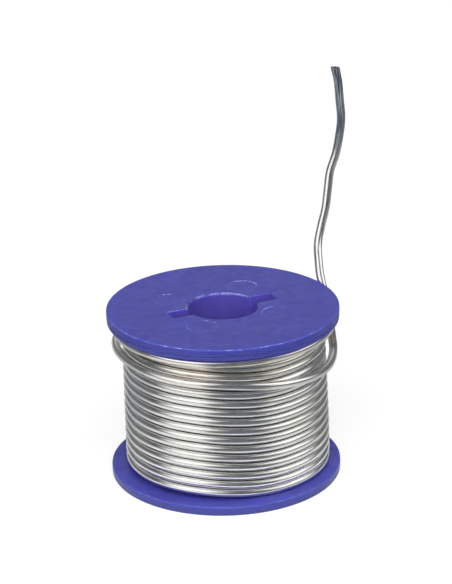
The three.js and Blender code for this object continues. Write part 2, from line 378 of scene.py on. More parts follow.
# %% [markdown]
# ### The winding
# The outer layer and the slack turn are one wire, so they are one piece. The layers under it show
# only as dark lines between the turns, but a drum without them would look hollow from the side.
# They are wound the same way, one wire going up, down and up again, and it climbs out under the
# top flange to become the outer layer. A plain ring would be cheaper, but its smooth wall would
# shine through the gaps.

# %% Outer layer with the slack turn
DEGREES_A_RING = 4
wound_route = [outer_layer(angle) for angle in every(START_ANGLE, LAYER_END, DEGREES_A_RING)]
wound_route += [through_stops(LAYER_END + angle) for angle in every(0, 270, DEGREES_A_RING)[1:-1]]
wound_route += whole_route[: exit_index + 1]
winding = bend_wire("wound_wire", wound_route, WIRE_RADIUS, sides=16)
close_ends(winding)
wound_wire = finish_piece("wound_wire", winding)
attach(wound_wire, "root")
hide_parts("winding_outer_layer", "loose_turns")

# %% Inner layers
INNER_RADII = [16.07 * MM, 18.1 * MM, 20.13 * MM]
INNER_LOW, INNER_HIGH = 3.12 * MM, 36.86 * MM
INNER_TURNS = 15.4
CLIMB_OUT = 50  # degrees in which the wire climbs from one layer to the next


def inner_layers():
    """Goes back from the start of the outer layer, down to the barrel."""
    angle, places = START_ANGLE, []
    radii = INNER_RADII + [LAYER_RADIUS]
    heights = [INNER_HIGH, INNER_LOW, INNER_HIGH]
    for layer in (2, 1, 0):
        end = heights[2 - layer]
        other = INNER_LOW if end == INNER_HIGH else INNER_HIGH
        level = TOP_LEVEL if layer == 2 else end
        for back_by in every(0, CLIMB_OUT, 5)[:-1]:
            share = 1 - ramp(back_by, 0, CLIMB_OUT)
            out = radii[layer] + (radii[layer + 1] - radii[layer]) * share
            places.append(round_spool(angle - back_by, out, end + (level - end) * share))
        angle -= CLIMB_OUT
        turned = INNER_TURNS * 360
        for back_by in every(0, turned, 6)[: -1 if layer else None]:
            height = end + (other - end) * back_by / turned
            places.append(round_spool(angle - back_by, radii[layer], height))
        angle -= turned
    return places[::-1]


inner = bend_wire("inner_layers", inner_layers(), WIRE_RADIUS, sides=10)
close_ends(inner)
inner_wire = finish_piece("inner_layers", inner)
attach(inner_wire, "root")
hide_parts("winding_inner_layers")

# %% [markdown]
# ## The moulding
# The spool is one moulding: two thin flanges on a barrel, with a bore and two drive slots right
# through it. Its rims and barrel are a half section spun round the axis. The opening is a cutter
# made of a cylinder and a bar, with its corners rounded before the cut, because a corner is easier
# to round on the cutter than on the cut edge. Booleans lose small corners on a mesh that is only
# hundredths of a unit across, so the moulding is made in millimetres and scaled down at the end.

# %% Sizes of the moulding, in millimetres
SPOOL_HEIGHT = 40
FLANGE_RADIUS = 26.5
FLANGE_THICKNESS = 2.1
BARREL_RADIUS = 15
BORE_RADIUS = 8
BORE_CHAMFER = 0.5
SLOT_WIDTH = 4
SLOT_REACH = 13
SLOT_END_FILLET = 0.5
SLOT_MOUTH_FILLET = 0.8
RIM_ROUND = 0.22
PARTING_DROP = 1.65  # the groove round the top rim, where the halves of the mould meet
GROOVE_HEIGHT = 0.22
GROOVE_DEPTH = 0.25
LIP_DROP = 2.58  # the top rim reaches a little below the flange
LIP_INSIDE = 25.78
MARK_RADIUS = 3.4
MARK_CIRCLE = 13
MARK_DEPTH = 0.08
THROUGH = 5  # how far a cutter stands out of the moulding
print(f"moulding: {2 * FLANGE_RADIUS} mm across and {SPOOL_HEIGHT} mm high")

# %% Half section of the moulding
lower_face, upper_face = FLANGE_THICKNESS, SPOOL_HEIGHT - FLANGE_THICKNESS
parting = SPOOL_HEIGHT - PARTING_DROP
groove_floor = FLANGE_RADIUS - GROOVE_DEPTH
lip_radius, lip_foot = FLANGE_RADIUS - 0.06, SPOOL_HEIGHT - LIP_DROP
half_section = [
    (BORE_RADIUS / 2, 0), (FLANGE_RADIUS, 0), (FLANGE_RADIUS, lower_face),
    (BARREL_RADIUS, lower_face), (BARREL_RADIUS, upper_face), (LIP_INSIDE, upper_face),
    (LIP_INSIDE, lip_foot), (lip_radius, lip_foot), (lip_radius, parting - GROOVE_HEIGHT),
    (groove_floor, parting - GROOVE_HEIGHT), (groove_floor, parting), (FLANGE_RADIUS, parting),
    (FLANGE_RADIUS, SPOOL_HEIGHT), (BORE_RADIUS / 2, SPOOL_HEIGHT),
]
print("corners of the half section:", len(half_section))


# %% Helpers that draw, round and spin
def draw_line(shape, places, closed=False):
    """Edges through places that are given as how far out and how high."""
    points = [shape.verts.new((out, 0, height)) for out, height in places]
    for a, b in zip(points, points[1:] + (points[:1] if closed else [])):
        shape.edges.new((a, b))


def bevel(shape, geom, offset, segments, affect="EDGES", clamp=False):
    """Bevel with the settings that the editor has from the start."""
    bmesh.ops.bevel(
        shape,
        geom=geom,
        offset=offset,
        segments=segments,
        profile=0.5,
        affect=affect,
        material=-1,
        clamp_overlap=clamp,
    )


def round_corners(shape, places, radius, segments):
    picked = [v for v in shape.verts if any((v.co.xz - Vector(p)).length < 0.01 for p in places)]
    bevel(shape, picked, radius, segments, affect="VERTICES")


def spin_round(shape, steps):
    """Spins everything once round the axis, and closes it where it meets itself."""
    bmesh.ops.spin(
        shape,
        geom=shape.verts[:] + shape.edges[:],
        axis=(0, 0, 1),
        cent=(0, 0, 0),
        angle=2 * math.pi,
        steps=steps,
        use_merge=True,
    )


# %% Spin the half section
body = bmesh.new()
draw_line(body, half_section, closed=True)
round_corners(body, [half_section[i] for i in (1, 2, 12)], RIM_ROUND, 4)  # the rims
round_corners(body, [half_section[i] for i in (3, 4)], 0.5, 3)  # both ends of the barrel
round_corners(body, [half_section[i] for i in (7, 8, 11)], 0.05, 2)  # the lip and the groove
spin_round(body, steps=256)
bmesh.ops.remove_doubles(body, verts=body.verts, dist=0.0001)
spool = finish_piece("spool_moulding", body)


# %% Helpers that cut
def cutter_cylinder(radius_low, radius_high, low, high, place=(0, 0), segments=192):
    """An upright cylinder or cone from the height low to the height high."""
    shape = bmesh.new()
    bmesh.ops.create_cone(
        shape,
        cap_ends=True,
        segments=segments,
        radius1=radius_low,
        radius2=radius_high,
        depth=high - low,
        matrix=Matrix.Translation((*place, (low + high) / 2)),
    )
    return finish_piece("cutter", shape)


def combine(target, tool, operation):
    """Cuts the tool from the target or adds it, and keeps only the result."""
    modifier = target.modifiers.new("cut", "BOOLEAN")
    modifier.operation, modifier.object, modifier.solver = operation, tool, "EXACT"
    result = final_mesh(target)
    target.modifiers.clear()
    target.data = result
    bpy.data.objects.remove(tool)


# %% Cut the opening
opening = cutter_cylinder(BORE_RADIUS, BORE_RADIUS, -THROUGH, SPOOL_HEIGHT + THROUGH)
bar = bmesh.new()
bar_size = Matrix.Diagonal((2 * SLOT_REACH, SLOT_WIDTH, SPOOL_HEIGHT + 2.4 * THROUGH, 1))
bmesh.ops.create_cube(bar, size=1, matrix=Matrix.Translation((0, 0, SPOOL_HEIGHT / 2)) @ bar_size)
upright = [e for e in bar.edges if abs(e.verts[0].co.z - e.verts[1].co.z) > SPOOL_HEIGHT]
bevel(bar, upright, SLOT_END_FILLET, 6)
combine(opening, finish_piece("bar", bar), "UNION")
rounded = bmesh.new()
rounded.from_mesh(opening.data)


def is_mouth(edge):
    """Whether this upright edge is where a slot opens into the bore."""
    one, other = (v.co for v in edge.verts)
    on_slot = abs(abs(one.y) - SLOT_WIDTH / 2) < 0.01 and abs(one.xy.length - BORE_RADIUS) < 0.05
    return on_slot and abs(one.z - other.z) > SPOOL_HEIGHT


mouth = [edge for edge in rounded.edges if is_mouth(edge)]
bevel(rounded, mouth, SLOT_MOUTH_FILLET, 6)
bpy.data.objects.remove(opening)
combine(spool, finish_piece("opening", rounded), "DIFFERENCE")

# %% Cut the chamfers and the ejector marks
for face, inward in ((0, 1), (SPOOL_HEIGHT, -1)):
    ends = [(face - inward * BORE_CHAMFER, 2), (face + 2 * inward * BORE_CHAMFER, -1)]
    (low, grow_low), (high, grow_high) = sorted(ends)
    wide_low, wide_high = (BORE_RADIUS + grow * BORE_CHAMFER for grow in (grow_low, grow_high))
    # Its facets are set off from the bore's, because facets that just touch confuse the cut.
    combine(spool, cutter_cylinder(wide_low, wide_high, low, high, segments=200), "DIFFERENCE")
for quarter in range(4):
    place = round_spool(45 + 90 * quarter, MARK_CIRCLE, 0)
    low, high = SPOOL_HEIGHT - MARK_DEPTH, SPOOL_HEIGHT + THROUGH
    mark = cutter_cylinder(MARK_RADIUS, MARK_RADIUS, low, high, place.xy, 72)
    combine(spool, mark, "DIFFERENCE")
print("faces of the cut moulding:", len(spool.data.polygons))

# %% [markdown]
# ### Soft edges, and the edges that wear
# No moulded edge is perfectly sharp, and a sharp one catches no light, so the cut edges of the top
# face get a very small bevel. The corners of the rims that stick out get knocked in use. They are
# marked here, on the mesh, as an attribute that the plastic's finish reads. A Bevel node could
# find edges by itself, but it is slow and finds the inside corners too.

# %% Soften the cut edges
CUT_ROUND = 0.07
OPENING_WITHIN = 20  # everything nearer to the axis than this belongs to the opening and the marks
SLANTING = (0.37, 1, 0.61)
softened = bmesh.new()
softened.from_mesh(spool.data)
# The cut gives its points in another order each run, and which of two is kept goes by the order.
softened.verts.sort(key=lambda vert: vert.co.dot(SLANTING))
bmesh.ops.remove_doubles(softened, verts=softened.verts, dist=0.002)


def is_cut_edge(edge):
    """Whether this is a sharp edge that a cutter left in the top face."""
    level = all(abs(v.co.z - SPOOL_HEIGHT) < 0.001 for v in edge.verts)
    near = all(v.co.xy.length < OPENING_WITHIN for v in edge.verts)
    between_two = len(edge.link_faces) == 2
    return level and near and between_two and edge.calc_face_angle() > math.radians(20)


cut_edges = [edge for edge in softened.edges if is_cut_edge(edge)]
print("cut edges:", len(cut_edges))
bevel(softened, cut_edges, CUT_ROUND, 3, clamp=True)

# %% Mark the edges that wear
worn_heights = [0, lower_face, parting, SPOOL_HEIGHT]  # corners of the rims that stick out


def is_worn(vert):
    """Whether this point is in the middle of a rounded corner that sticks out."""
    out, height = vert.co.xy.length, vert.co.z
    if out < OPENING_WITHIN:
        sticks_out = height > SPOOL_HEIGHT - CUT_ROUND
    else:
        near = min(abs(height - worn_height) for worn_height in worn_heights)
        sticks_out = out > FLANGE_RADIUS - 0.14 and near < RIM_ROUND
    return sticks_out and 0.3 < abs(vert.normal.z) < 0.95


softened.normal_update()
worn_edge = softened.verts.layers.float.new("worn_edge")
for vert in softened.verts:
    vert[worn_edge] = float(is_worn(vert))
print("worn points:", sum(vert[worn_edge] > 0 for vert in softened.verts))
bmesh.ops.scale(softened, vec=(MM, MM, MM), verts=softened.verts)
bpy.data.objects.remove(spool)
spool = finish_piece("spool_moulding", softened, 30)
weighted = spool.modifiers.new("flat faces stay flat", "WEIGHTED_NORMAL")
weighted.keep_sharp = True
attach(spool, "root")
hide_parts("spool_body")

# %% [markdown]
# ## Finishes
# The real finishes are plain materials with a history: plastic that came out of a mould and was
# handled, and soft metal that was drawn through a die and wound. What shows is small, so each
# effect is a node group with its real size as an input, and each finish places the groups it
# needs.

# %% Helpers for nodes
def add_node(tree, kind, settings=None, **inputs):
    """Adds a node. Inputs are values, or sockets to link from; i0, i1 and so on go by number."""
    node = tree.nodes.new(kind)
    for name, value in (settings or {}).items():
        setattr(node, name, value)
    for name, value in inputs.items():
        by_number = name[0] == "i" and name[1:].isdigit()
        socket = node.inputs[int(name[1:]) if by_number else name.replace("_", " ")]
        if isinstance(value, bpy.types.NodeSocket):
            tree.links.new(value, socket)
        else:
            socket.default_value = value
    return node


def calculate(tree, operation, value, *others):
    """Works out one value. Where there are more than two, it takes them in one after another."""
    if not others:
        return add_node(tree, "ShaderNodeMath", {"operation": operation}, i0=value).outputs[0]
    for other in others:
        step = add_node(tree, "ShaderNodeMath", {"operation": operation}, i0=value, i1=other)
        value = step.outputs[0]
    return value


def multiply(tree, *values):
    return calculate(tree, "MULTIPLY", *values)


def vector_math(tree, operation, *vectors):
    """Works out a vector from others, or its length or the dot product as a value."""
    inputs = {f"i{k}": vector for k, vector in enumerate(vectors)}
    node = add_node(tree, "ShaderNodeVectorMath", {"operation": operation}, **inputs)
    return node.outputs["Value" if operation in ("LENGTH", "DOT_PRODUCT") else "Vector"]


def split(tree, vector):
    """The X, Y and Z of a vector, by name."""
    return add_node(tree, "ShaderNodeSeparateXYZ", Vector=vector).outputs


def join(tree, **parts):
    return add_node(tree, "ShaderNodeCombineXYZ", **parts).outputs["Vector"]


# %% Helpers that blend values and colours
def follow(tree, value, start, end, low, high, kind="SMOOTHSTEP"):
    """Goes from low to high as the value goes from start to end."""
    settings = {"interpolation_type": kind}
    ends = {"From_Min": start, "From_Max": end, "To_Min": low, "To_Max": high}
    return add_node(tree, "ShaderNodeMapRange", settings, Value=value, **ends).outputs["Result"]


def paint(tree, color, *layers):
    """Lays colours one over another. Each layer is how much of it shows, and its colour."""
    for share, over in layers:
        mix = add_node(tree, "ShaderNodeMix", {"data_type": "RGBA"}, i0=share, i6=color, i7=over)
        color = mix.outputs[2]
    return color


# %% Helpers that start a material or an effect
def new_material(name, **inputs):
    """A material, with a function that links a value to an input of its shader."""
    material = bpy.data.materials.new(name)
    material.use_nodes = True
    tree = material.node_tree
    shader = tree.nodes["Principled BSDF"]
    for key, value in inputs.items():
        shader.inputs[key.replace("_", " ")].default_value = value
    return material, tree, lambda key, value: tree.links.new(value, shader.inputs[key])


def new_effect(name, inputs, output):
    """An empty node group. Inputs are names with a default; a default of None is a vector."""
    group = bpy.data.node_groups.new(name, "ShaderNodeTree")
    for key, default in inputs.items():
        kind = "NodeSocketVector" if default is None else "NodeSocketFloat"
        socket = group.interface.new_socket(key, in_out="INPUT", socket_type=kind)
        if default is not None:
            socket.default_value = default
    group.interface.new_socket(output, in_out="OUTPUT", socket_type="NodeSocketFloat")
    given = group.nodes.new("NodeGroupInput").outputs
    result = group.nodes.new("NodeGroupOutput").inputs[output]
    return group, given, lambda value: group.links.new(value, result)


def effect(tree, group, **inputs):
    """Places a node group and gives what it puts out."""
    return add_node(tree, "ShaderNodeGroup", {"node_tree": group}, **inputs).outputs[0]


def bumps(tree, strength, distance, height):
    node = add_node(tree, "ShaderNodeBump", Strength=strength, Distance=distance, Height=height)
    return node.outputs["Normal"]


# %% [markdown]
# ### Effects that the finishes share
# Cloudy tone is slow noise, for colour and gloss that are never quite even. Fine grain is the
# small roughness of a surface, as a height for a Bump node. Scratches are noise squeezed in one
# direction, of which only the sharpest crests are kept. Nicks are pale where an edge was knocked:
# the edge is given as a mask, and noise breaks it up into clusters.

# %% Cloudy tone and fine grain
def noise(tree, place, size, detail=2.0):
    """Noise whose features are about as large as the size, in metres."""
    scale = calculate(tree, "DIVIDE", 1.0, size)
    return add_node(tree, "ShaderNodeTexNoise", Vector=place, Scale=scale, Detail=detail).outputs[0]


cloudy_tone, given, put_out = new_effect(
    "cloudy_tone", {"Place": None, "Size": 0.01, "Low": 0.0, "High": 1.0}, "Tone"
)
clouds = noise(cloudy_tone, given["Place"], given["Size"], 3.0)
put_out(follow(cloudy_tone, clouds, 0.3, 0.7, given["Low"], given["High"], "LINEAR"))

fine_grain, given, put_out = new_effect(
    "fine_grain", {"Place": None, "Size": 0.0003, "Height": 1.0}, "Height"
)
grains = noise(fine_grain, given["Place"], given["Size"], 4.0)
put_out(multiply(fine_grain, grains, given["Height"]))
print("nodes:", len(cloudy_tone.nodes), "and", len(fine_grain.nodes))

# %% Scratches
HIGH_CREST = 0.86  # noise seldom rises higher, so with an amount of 0 hardly a scratch is left
CREST_FADE = 0.08
sizes = {"Place": None, "Width": 0.0001, "Length": 20.0, "Turn": 0.0, "Amount": 0.3}
scratches, given, put_out = new_effect("scratches", sizes, "Mask")
tree = scratches
about_z = {"rotation_type": "Z_AXIS"}
place, turn = given["Place"], given["Turn"]
turned = add_node(tree, "ShaderNodeVectorRotate", about_z, Vector=place, Angle=turn)
parts = split(tree, turned.outputs["Vector"])
shorter = {axis: calculate(tree, "DIVIDE", parts[axis], given["Length"]) for axis in "YZ"}
squeezed = join(tree, X=parts["X"], **shorter)
crests = noise(tree, squeezed, given["Width"], 1.0)
lowered = multiply(tree, given["Amount"], 0.4)
least = calculate(tree, "SUBTRACT", HIGH_CREST, lowered)
most = calculate(tree, "ADD", least, CREST_FADE)
put_out(follow(tree, crests, least, most, 0.0, 1.0))
print("scratches:", len(scratches.nodes), "nodes")

# %% Nicks
CLUSTER = 9.0  # how many times wider a cluster is than one nick
nicks, given, put_out = new_effect(
    "nicks", {"Place": None, "Edge": 0.0, "Size": 0.001, "Amount": 0.5}, "Mask"
)
tree = nicks
fine = noise(tree, given["Place"], given["Size"], 2.0)
cluster_size = multiply(tree, given["Size"], CLUSTER)
clusters = noise(tree, given["Place"], cluster_size, 1.0)
broken = calculate(tree, "ADD", multiply(tree, fine, 0.55), multiply(tree, clusters, 0.45))
start = calculate(tree, "SUBTRACT", 0.64, multiply(tree, given["Amount"], 0.3))
kept = follow(tree, broken, start, calculate(tree, "ADD", start, 0.1), 0.0, 1.0)
near = follow(tree, given["Edge"], 0.1, 0.9, 0.0, 1.0)
put_out(multiply(tree, near, kept))
print("nicks:", len(nicks.nodes), "nodes")

# %% [markdown]
# ### Moulded blue plastic
# Spools like this are moulded in polystyrene coloured through, so the blue is even but not flat:
# light enters it and comes back bluer, which keeps shaded places such as the bore from going
# black. Subsurface scattering does that, with blue travelling furthest. Its strength is the same
# all over, so it is set on the shader itself, and only what changes over the surface comes from
# nodes.

# %% Blue plastic
plastic, tree, set_plastic = new_material(
    "blue_plastic",
    Subsurface_Weight=1.0,
    Subsurface_Radius=(0.35, 0.3, 1.0),
    Subsurface_Scale=4 * MM,
    Specular_IOR_Level=0.38,
)
place = add_node(tree, "ShaderNodeTexCoord").outputs["Object"]
in_mm = split(tree, vector_math(tree, "MULTIPLY", place, (1 / MM, 1 / MM, 1 / MM)))
out = vector_math(tree, "LENGTH", join(tree, X=in_mm["X"], Y=in_mm["Y"]))
print("the plastic reads its place in millimetres")

# %% [markdown]
# #### Where the moulding is worn
# Four things look pale in the photograph: knocked corners of the rims, the circles that the
# ejector pins left, the chamfer of the bore and the edges of the slots. The corners are marked on
# the mesh. The others are plain shapes, so a mask can find them from the place alone: how far a
# point is from a circle or a line. All four are broken up by the same nicks, each with its own
# size.

# %% Masks for the worn places
def ring(value, at, width):
    """1 where the value is right, going down to 0 at this width from it."""
    off = calculate(tree, "ABSOLUTE", calculate(tree, "SUBTRACT", value, at))
    return follow(tree, off, 0.0, width, 1.0, 0.0)


def above(depth, fade):
    """1 from this depth under the top face upwards."""
    start = SPOOL_HEIGHT - depth
    return follow(tree, in_mm["Z"], start - fade, start, 0.0, 1.0)


on_top = above(BORE_CHAMFER, 0.2)
mark_at = MARK_CIRCLE * math.sqrt(0.5)
from_mark = vector_math(
    tree,
    "LENGTH",
    join(
        tree,  # folded, so that one circle stands for all four
        X=calculate(tree, "SUBTRACT", calculate(tree, "ABSOLUTE", in_mm["X"]), mark_at),
        Y=calculate(tree, "SUBTRACT", calculate(tree, "ABSOLUTE", in_mm["Y"]), mark_at),
    ),
)
marks = multiply(tree, on_top, ring(from_mark, MARK_RADIUS, 0.2))
bore_edge = multiply(tree, on_top, ring(out, BORE_RADIUS + BORE_CHAMFER / 2, 0.3))
slot_edges = multiply(
    tree,
    follow(tree, out, BORE_RADIUS + 0.3, BORE_RADIUS + 0.7, 0.0, 1.0),
    follow(tree, out, SLOT_REACH - 0.1, SLOT_REACH + 0.2, 1.0, 0.0),
    ring(in_mm["Y"], SLOT_WIDTH / 2 + 0.1, 0.22),
    above(0.05, 0.1),
)
marked = add_node(tree, "ShaderNodeAttribute", {"attribute_name": "worn_edge"}).outputs["Fac"]
towards_front = vector_math(tree, "DOT_PRODUCT", place, tuple(seen(-0.15, -1, 0)))
rim_corners = multiply(
    tree,
    follow(tree, marked, 0.5, 1.0, 0.0, 1.0),
    follow(tree, towards_front, 5 * MM, 22 * MM, 0.1, 1.0),  # most of the knocks are in front
    follow(tree, in_mm["Z"], 4, 20, 0.4, 1.0),  # and on the top rim
)
print("masks: rim corners, ejector marks, bore edge, slot edges")

# %% Nicks and scuffs on the plastic
by_opening = calculate(tree, "MAXIMUM", bore_edge, slot_edges)
knocked = effect(tree, nicks, Place=place, Edge=rim_corners, Size=0.25 * MM, Amount=0.42)
speckled = effect(tree, nicks, Place=place, Edge=marks, Size=0.48 * MM, Amount=0.55)
roughened = effect(tree, nicks, Place=place, Edge=by_opening, Size=0.24 * MM, Amount=0.55)
fading = effect(tree, cloudy_tone, Place=place, Size=5 * MM, Low=0.0, High=0.1)
scuffed = calculate(
    tree,
    "MAXIMUM",
    effect(tree, scratches, Place=place, Width=0.12 * MM, Length=30.0, Turn=0.7, Amount=0.25),
    effect(tree, scratches, Place=place, Width=0.1 * MM, Length=24.0, Turn=-0.5, Amount=0.2),
)
pale = calculate(
    tree,
    "MAXIMUM",
    knocked,
    multiply(tree, speckled, 0.85),
    multiply(tree, roughened, 0.55),
    multiply(tree, rim_corners, fading),
    multiply(tree, scuffed, 0.1),
)
print("the plastic has", len(tree.nodes), "nodes so far")

# %% [markdown]
# #### Colour, gloss and relief of the plastic
# The blue drifts slowly between two tones. Over it, light and shade are painted, because light
# spreads further in a real moulding than the shader lets it: the walls of the opening are painted a
# little lighter and redder, and the rims and the chamfer a little deeper. Those painted tones are
# laid over the first.

# %% Tones of the plastic, with painted light and shade
PLASTIC_DEEP = (0.053, 0.052, 0.325, 1)
PLASTIC_LIGHT = (0.062, 0.064, 0.385, 1)
# painted light: the walls of the opening get a lighter, redder blue than the rest
PLASTIC_PAINTED_LIGHT = (0.088, 0.068, 0.385, 1)
# painted shade: the chamfer of the bore gets a deeper blue
PLASTIC_CHAMFER_SHADE = (0.045, 0.05, 0.2, 1)
# painted shade: the rims get a deeper blue
PLASTIC_RIM_SHADE = (0.054, 0.062, 0.315, 1)
PLASTIC_BRUISED = (0.42, 0.45, 0.80, 1)
drift = effect(tree, cloudy_tone, Place=place, Size=7 * MM, Low=0.0, High=1.0)
# painted light: this mask picks the walls of the opening, which are painted lighter
opening_light_mask = multiply(
    tree,
    follow(tree, out, SLOT_REACH + 0.5, SLOT_REACH + 1, 1.0, 0.0),
    follow(tree, in_mm["Z"], SPOOL_HEIGHT - 0.4, SPOOL_HEIGHT, 1.0, 0.0),
)
# painted shade: this mask picks the rims, which are painted deeper
rim_shade_mask = follow(tree, out, FLANGE_RADIUS - 0.3, FLANGE_RADIUS - 0.1, 0.0, 1.0)
# the layers for the opening, the chamfer and the rims are painted light and shade; the pale layer
# is wear
blue = paint(
    tree,
    PLASTIC_DEEP,
    (drift, PLASTIC_LIGHT),
    (opening_light_mask, PLASTIC_PAINTED_LIGHT),
    (bore_edge, PLASTIC_CHAMFER_SHADE),
    (rim_shade_mask, PLASTIC_RIM_SHADE),
    (pale, PLASTIC_BRUISED),
)
set_plastic("Base Color", blue)
print("tones of blue:", PLASTIC_DEEP[:3], "to", PLASTIC_LIGHT[:3])

# %% Gloss and relief of the plastic
gloss = effect(tree, cloudy_tone, Place=place, Size=2.5 * MM, Low=0.36, High=0.5)
dulled = multiply(tree, scuffed, 0.15)
set_plastic("Roughness", calculate(tree, "ADD", gloss, dulled))
grain = effect(tree, fine_grain, Place=place, Size=0.35 * MM, Height=0.5)
waves = effect(tree, fine_grain, Place=place, Size=3 * MM, Height=2.0)
scored = multiply(tree, scuffed, 0.5)
relief = calculate(tree, "SUBTRACT", calculate(tree, "ADD", grain, waves), scored)
set_plastic("Normal", bumps(tree, 0.35, 0.03 * MM, relief))
print("the finished plastic has", len(tree.nodes), "nodes")

# %% [markdown]
# ### Drawn solder
# Tin and lead stay bright, but soft wire keeps the marks of the die as fine lines along it, and of
# every turn that it rubbed against. The lines use the wire's own UV map, in metres across and
# along, so they follow every bend. The upper turns have lain open to the air and have a thin straw
# tint, and the end that fingers hold is duller and full of long scratches. Both of these could
# follow the wire's length, but height is simpler, because only the free end stands that high.

# %% Marks on the solder
metal, tree, set_metal = new_material("solder")
coordinates = add_node(tree, "ShaderNodeTexCoord").outputs
place, wire = coordinates["Object"], coordinates["UV"]
height = split(tree, place)["Z"]
drawn = effect(tree, scratches, Place=wire, Width=0.16 * MM, Length=60.0, Turn=0.0, Amount=0.75)
rubbed = effect(tree, scratches, Place=wire, Width=0.1 * MM, Length=9.0, Turn=0.25, Amount=0.35)
long_scratches = effect(
    tree, scratches, Place=wire, Width=0.13 * MM, Length=90.0, Turn=0.015, Amount=0.82
)
handled = follow(tree, height, 62 * MM, 76 * MM, 0.0, 1.0)
bare = multiply(tree, handled, long_scratches)
greyed = calculate(tree, "SUBTRACT", handled, bare)
print("the solder has", len(tree.nodes), "nodes so far")

# %% Tones of the solder
TIN_BRIGHT = (0.88, 0.885, 0.88, 1)
TIN_WARM = (0.875, 0.865, 0.82, 1)
TIN_DULL = (0.52, 0.53, 0.55, 1)
TIN_STRAW = (0.88, 0.835, 0.76, 1)
TIN_HANDLED = (0.27, 0.31, 0.37, 1)
warm = effect(tree, cloudy_tone, Place=place, Size=9 * MM, Low=0.0, High=1.0)
dull = effect(tree, cloudy_tone, Place=place, Size=1.6 * MM, Low=0.0, High=0.12)
dark_lines = calculate(tree, "ADD", dull, multiply(tree, drawn, 0.12), multiply(tree, rubbed, 0.25))
stained = multiply(
    tree,
    warm,
    follow(tree, height, 28 * MM, 34 * MM, 0.0, 1.0),
    follow(tree, height, 37 * MM, 42 * MM, 1.0, 0.0),
)
tin = paint(
    tree,
    TIN_BRIGHT,
    (warm, TIN_WARM),
    (dark_lines, TIN_DULL),
    (stained, TIN_STRAW),
    (greyed, TIN_HANDLED),
)
set_metal("Base Color", tin)
set_metal("Metallic", follow(tree, dull, 0.0, 0.16, 0.98, 0.9, "LINEAR"))
print("tones of tin:", TIN_BRIGHT[:3], "to", TIN_WARM[:3])

# %% Gloss and relief of the solder
rough = calculate(
    tree,
    "ADD",
    effect(tree, cloudy_tone, Place=place, Size=3 * MM, Low=0.08, High=0.14),
    multiply(tree, rubbed, 0.05),
    multiply(tree, bare, 0.35),
)
set_metal("Roughness", rough)
lines = calculate(tree, "ADD", multiply(tree, drawn, 0.6), multiply(tree, rubbed, 0.5), bare)
set_metal("Normal", bumps(tree, 0.4, 0.02 * MM, lines))
print("the finished solder has", len(tree.nodes), "nodes")

# %% [markdown]
# ### Rosin
# The flux in the wire's core is clear amber rosin that breaks with a rough face. Only its end
# shows, deep in the wire, so cloudy colour and a rough face are enough, and it needs no glassy
# shader.

# %% Rosin
ROSIN_DARK = (0.26, 0.10, 0.02, 1)
ROSIN_CLEAR = (0.55, 0.29, 0.07, 1)
rosin, tree, set_rosin = new_material("rosin", Specular_IOR_Level=0.6)
place = add_node(tree, "ShaderNodeTexCoord").outputs["Object"]
amber = effect(tree, cloudy_tone, Place=place, Size=0.3 * MM, Low=0.0, High=1.0)
set_rosin("Base Color", paint(tree, ROSIN_DARK, (amber, ROSIN_CLEAR)))
gloss = effect(tree, cloudy_tone, Place=place, Size=0.2 * MM, Low=0.2, High=0.55)
set_rosin("Roughness", gloss)
broken_face = effect(tree, fine_grain, Place=place, Size=0.1 * MM, Height=1.0)
set_rosin("Normal", bumps(tree, 0.6, 0.05 * MM, broken_face))
print("the rosin has", len(tree.nodes), "nodes")

# %% Give each piece its finish
finishes = {spool: plastic, wound_wire: metal, inner_wire: metal, free_end: metal, flux_core: rosin}
for piece, finish in finishes.items():
    piece.data.materials.clear()
    piece.data.materials.append(finish)
    print(f"{piece.name}: {finish.name}")

# %% [markdown]
# ## Floor and light
# The photograph is a product shot on pure white. The floor and the world look white to the camera,
# to metal and through glass, and light everything else as an ordinary pale room would, so the
# spool still casts its shadow on the floor. The glow only shows: it adds no light to the spool.

# %% Floor
FLOOR_COLOR = (0.3, 0.3, 0.3, 1)
FLOOR_GLOW = 0.75
floor_shape = bmesh.new()
bmesh.ops.create_circle(floor_shape, cap_ends=True, segments=96, radius=6.0)
floor = finish_piece("floor", floor_shape)
floor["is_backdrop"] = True
paper, tree = new_material("paper", Base_Color=FLOOR_COLOR, Roughness=0.9)[:2]


def direct_view(tree):
    """1 for a ray that shows the set itself: from the camera, off metal, or through glass."""
    ray = add_node(tree, "ShaderNodeLightPath").outputs
    kinds = ("Is Camera Ray", "Is Glossy Ray", "Is Transmission Ray")
    return calculate(tree, "MAXIMUM", *(ray[kind] for kind in kinds))


bright = multiply(tree, direct_view(tree), FLOOR_GLOW)
glow = add_node(tree, "ShaderNodeEmission", Color=(1, 1, 1, 1), Strength=bright)
matt = tree.nodes["Principled BSDF"]
both = add_node(tree, "ShaderNodeAddShader", i0=matt.outputs[0], i1=glow.outputs[0])
tree.links.new(both.outputs[0], tree.nodes["Material Output"].inputs["Surface"])
floor.data.materials.append(paper)

# %% [markdown]
# ### The white room
# The inside of the bore is nearly as bright as the top of the spool, so much of the light comes
# from above the camera and reaches in over the near edge. It is a soft lobe of the world's own
# light. A third lamp could do the same, but every turn of the wire would mirror it.

